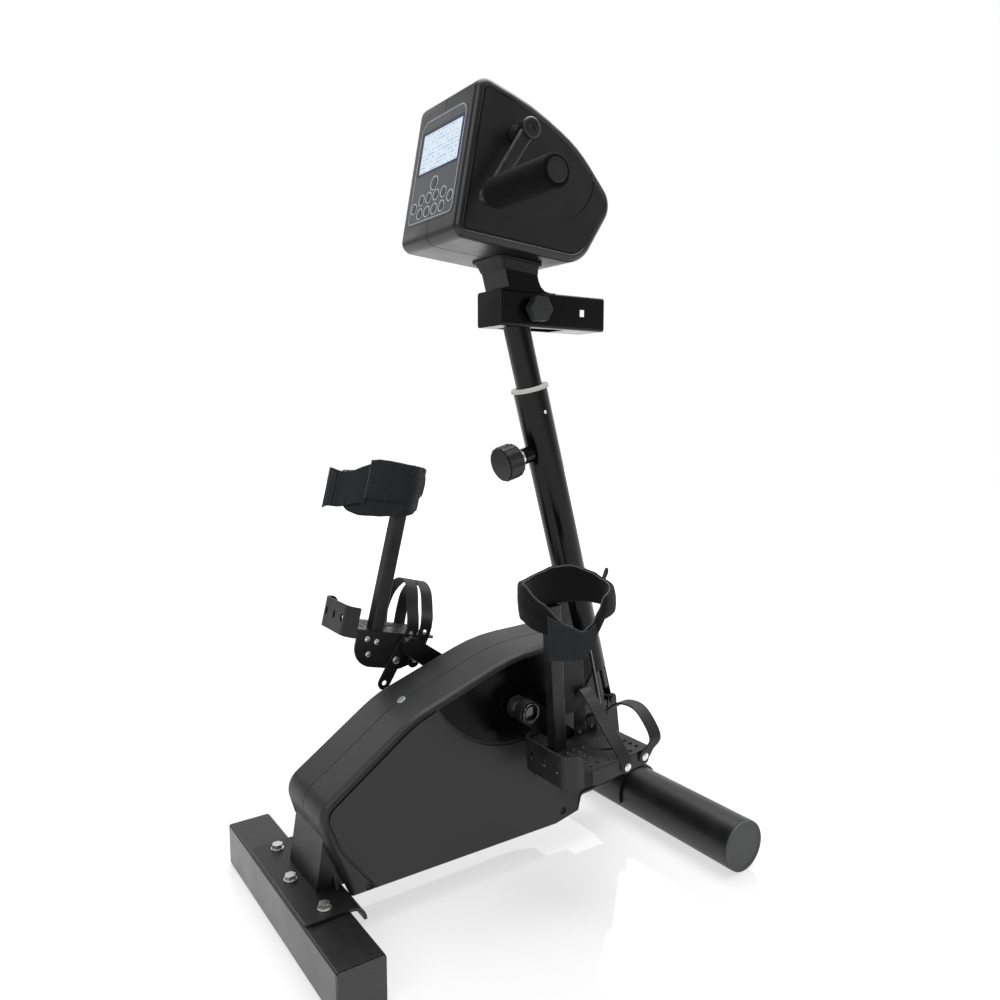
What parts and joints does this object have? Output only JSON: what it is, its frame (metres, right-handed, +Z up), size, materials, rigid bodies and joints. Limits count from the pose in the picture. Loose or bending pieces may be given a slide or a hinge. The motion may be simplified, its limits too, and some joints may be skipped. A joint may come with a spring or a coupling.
{
  "type": "electric pedal exerciser",
  "caption": "Floor-standing motorised arm and leg exerciser with calf supports, strapped footplates, a telescopic post and a console head with hand cranks.",
  "frame": {"origin": "on the floor, under the middle of the machine's outer box", "axes": "+Z up; +X to the user's right, along the crank axles; the user sits at -Y and faces +Y"},
  "size_m": [0.495, 0.6408, 1.121],
  "materials": {
    "frame_paint": "semi-gloss powder coat",
    "post_paint": "gloss paint",
    "pedal_paint": "semi-gloss powder coat",
    "zinc": "zinc plated",
    "steel": "ground",
    "fairing_plastic": "satin moulded",
    "head_plastic": "satin moulded",
    "knob_plastic": "matt moulded",
    "cap_plastic": "matt moulded",
    "bushing_nylon": "satin",
    "rubber": "matt",
    "padded_fabric": "woven",
    "foam": "closed-cell foam",
    "console_overlay": "satin film",
    "screen": "lit screen",
    "circuit_board": "lacquered"
  },
  "bodies": {
    "frame": {"main_frame": "frame_paint", "front_foot_tube": "frame_paint", "front_foot_cap_left": "knob_plastic", "front_foot_cap_right": "knob_plastic", "front_foot_bolts": "zinc", "rear_foot_tube": "frame_paint", "rear_foot_cap_left": "cap_plastic", "rear_foot_cap_right": "cap_plastic", "rear_foot_bolts": "zinc", "fairing_left": "fairing_plastic", "fairing_right": "fairing_plastic", "bottom_bracket": "steel", "drive_motor": "steel", "drive_belt": "rubber", "outer_post": "post_paint", "post_bushing": "bushing_nylon"},
    "lower_crank": {"crank_axle": "steel", "crank_pulley": "knob_plastic", "crank_arm_left": "frame_paint", "crank_arm_right": "frame_paint"},
    "motor_rotor": {"motor_pulley": "steel"},
    "pedal_right": {"footplate_right": "pedal_paint", "heel_cup_right": "pedal_paint", "calf_post_right": "post_paint", "calf_cuff_right": "padded_fabric", "toe_strap_right": "rubber", "instep_strap_right": "rubber"},
    "pedal_left": {"footplate_left": "pedal_paint", "heel_cup_left": "pedal_paint", "calf_post_left": "post_paint", "calf_cuff_left": "padded_fabric", "toe_strap_left": "rubber", "instep_strap_left": "rubber"},
    "pull_pin": {"pull_pin_knob": "knob_plastic"},
    "post_slide": {"inner_post": "post_paint"},
    "head": {"head_bracket": "frame_paint", "neck_boot": "rubber", "head_shell_left": "head_plastic", "head_shell_right": "head_plastic", "console_panel": "console_overlay", "lcd_screen": "screen", "console_board": "circuit_board", "hand_motor": "steel"},
    "clamp_knob": {"star_knob": "knob_plastic"},
    "hand_cranks": {"hand_axle": "frame_paint", "hand_crank_left": "frame_paint", "hand_crank_right": "frame_paint"},
    "grip_right": {"hand_grip_right": "foam"},
    "grip_left": {"hand_grip_left": "foam"},
    "key_1": {"button_1": "console_overlay"},
    "key_2": {"button_2": "console_overlay"},
    "key_3": {"button_3": "console_overlay"},
    "key_4": {"button_4": "console_overlay"},
    "key_5": {"button_5": "console_overlay"},
    "key_6": {"button_6": "console_overlay"},
    "key_7": {"button_7": "console_overlay"},
    "key_8": {"button_8": "console_overlay"},
    "key_9": {"button_9": "console_overlay"},
    "key_10": {"button_10": "console_overlay"},
    "key_11": {"button_11": "console_overlay"}
  },
  "joints": [
    {"name": "lower_crank_spin", "type": "hinge", "parent": "frame", "child": "lower_crank", "pos_m": [0, 0.0099, 0.2485], "axis": [1, 0, 0], "continuous": true},
    {"name": "motor_spin", "type": "hinge", "parent": "frame", "child": "motor_rotor", "pos_m": [0, -0.1205, 0.155], "axis": [1, 0, 0], "continuous": true},
    {"name": "pedal_right_spin", "type": "hinge", "parent": "lower_crank", "child": "pedal_right", "pos_m": [0.147, 0.09361, 0.18578], "axis": [1, 0, 0], "continuous": true},
    {"name": "pedal_left_spin", "type": "hinge", "parent": "lower_crank", "child": "pedal_left", "pos_m": [-0.147, -0.07381, 0.31122], "axis": [1, 0, 0], "continuous": true},
    {"name": "pull_pin_slide", "type": "slide", "parent": "frame", "child": "pull_pin", "axis": [0, -0.9634, -0.2679], "range_m": [0, 0.01], "stiffness_N_per_m": 800, "springref_m": -0.005},
    {"name": "post_height", "type": "slide", "parent": "frame", "child": "post_slide", "axis": [0, -0.2679, 0.9634], "range_m": [-0.06, 0.09]},
    {"name": "head_slide", "type": "slide", "parent": "post_slide", "child": "head", "axis": [0, -1, 0], "range_m": [0, 0.05]},
    {"name": "clamp_knob_turn", "type": "hinge", "parent": "head", "child": "clamp_knob", "pos_m": [0.04, 0.0655, 0.8015], "axis": [1, 0, 0], "range_deg": [0, 360]},
    {"name": "hand_crank_spin", "type": "hinge", "parent": "head", "child": "hand_cranks", "pos_m": [0, -0.0005, 1.012], "axis": [1, 0, 0], "continuous": true},
    {"name": "grip_right_spin", "type": "hinge", "parent": "hand_cranks", "child": "grip_right", "pos_m": [0.176, -0.06256, 0.92203], "axis": [1, 0, 0], "continuous": true},
    {"name": "grip_left_spin", "type": "hinge", "parent": "hand_cranks", "child": "grip_left", "pos_m": [-0.176, 0.06157, 1.10197], "axis": [1, 0, 0], "continuous": true},
    {"name": "button_1_press", "type": "slide", "parent": "head", "child": "key_1", "axis": [0, 0.9819, -0.1894], "range_m": [0, 0.0006], "stiffness_N_per_m": 800, "springref_m": -0.0005},
    {"name": "button_2_press", "type": "slide", "parent": "head", "child": "key_2", "axis": [0, 0.9819, -0.1894], "range_m": [0, 0.0006], "stiffness_N_per_m": 800, "springref_m": -0.0005},
    {"name": "button_3_press", "type": "slide", "parent": "head", "child": "key_3", "axis": [0, 0.9819, -0.1894], "range_m": [0, 0.0006], "stiffness_N_per_m": 800, "springref_m": -0.0005},
    {"name": "button_4_press", "type": "slide", "parent": "head", "child": "key_4", "axis": [0, 0.9819, -0.1894], "range_m": [0, 0.0006], "stiffness_N_per_m": 800, "springref_m": -0.0005},
    {"name": "button_5_press", "type": "slide", "parent": "head", "child": "key_5", "axis": [0, 0.9819, -0.1894], "range_m": [0, 0.0006], "stiffness_N_per_m": 800, "springref_m": -0.0005},
    {"name": "button_6_press", "type": "slide", "parent": "head", "child": "key_6", "axis": [0, 0.9819, -0.1894], "range_m": [0, 0.0006], "stiffness_N_per_m": 800, "springref_m": -0.0005},
    {"name": "button_7_press", "type": "slide", "parent": "head", "child": "key_7", "axis": [0, 0.9819, -0.1894], "range_m": [0, 0.0006], "stiffness_N_per_m": 800, "springref_m": -0.0005},
    {"name": "button_8_press", "type": "slide", "parent": "head", "child": "key_8", "axis": [0, 0.9819, -0.1894], "range_m": [0, 0.0006], "stiffness_N_per_m": 800, "springref_m": -0.0005},
    {"name": "button_9_press", "type": "slide", "parent": "head", "child": "key_9", "axis": [0, 0.9819, -0.1894], "range_m": [0, 0.0006], "stiffness_N_per_m": 800, "springref_m": -0.0005},
    {"name": "button_10_press", "type": "slide", "parent": "head", "child": "key_10", "axis": [0, 0.9819, -0.1894], "range_m": [0, 0.0006], "stiffness_N_per_m": 800, "springref_m": -0.0005},
    {"name": "button_11_press", "type": "slide", "parent": "head", "child": "key_11", "axis": [0, 0.9819, -0.1894], "range_m": [0, 0.0006], "stiffness_N_per_m": 800, "springref_m": -0.0005}
  ],
  "couplings": [
    {"joint": "motor_spin", "follows": "lower_crank_spin", "ratio": 4},
    {"joint": "pedal_right_spin", "follows": "lower_crank_spin", "ratio": -1},
    {"joint": "pedal_left_spin", "follows": "lower_crank_spin", "ratio": -1}
  ]
}
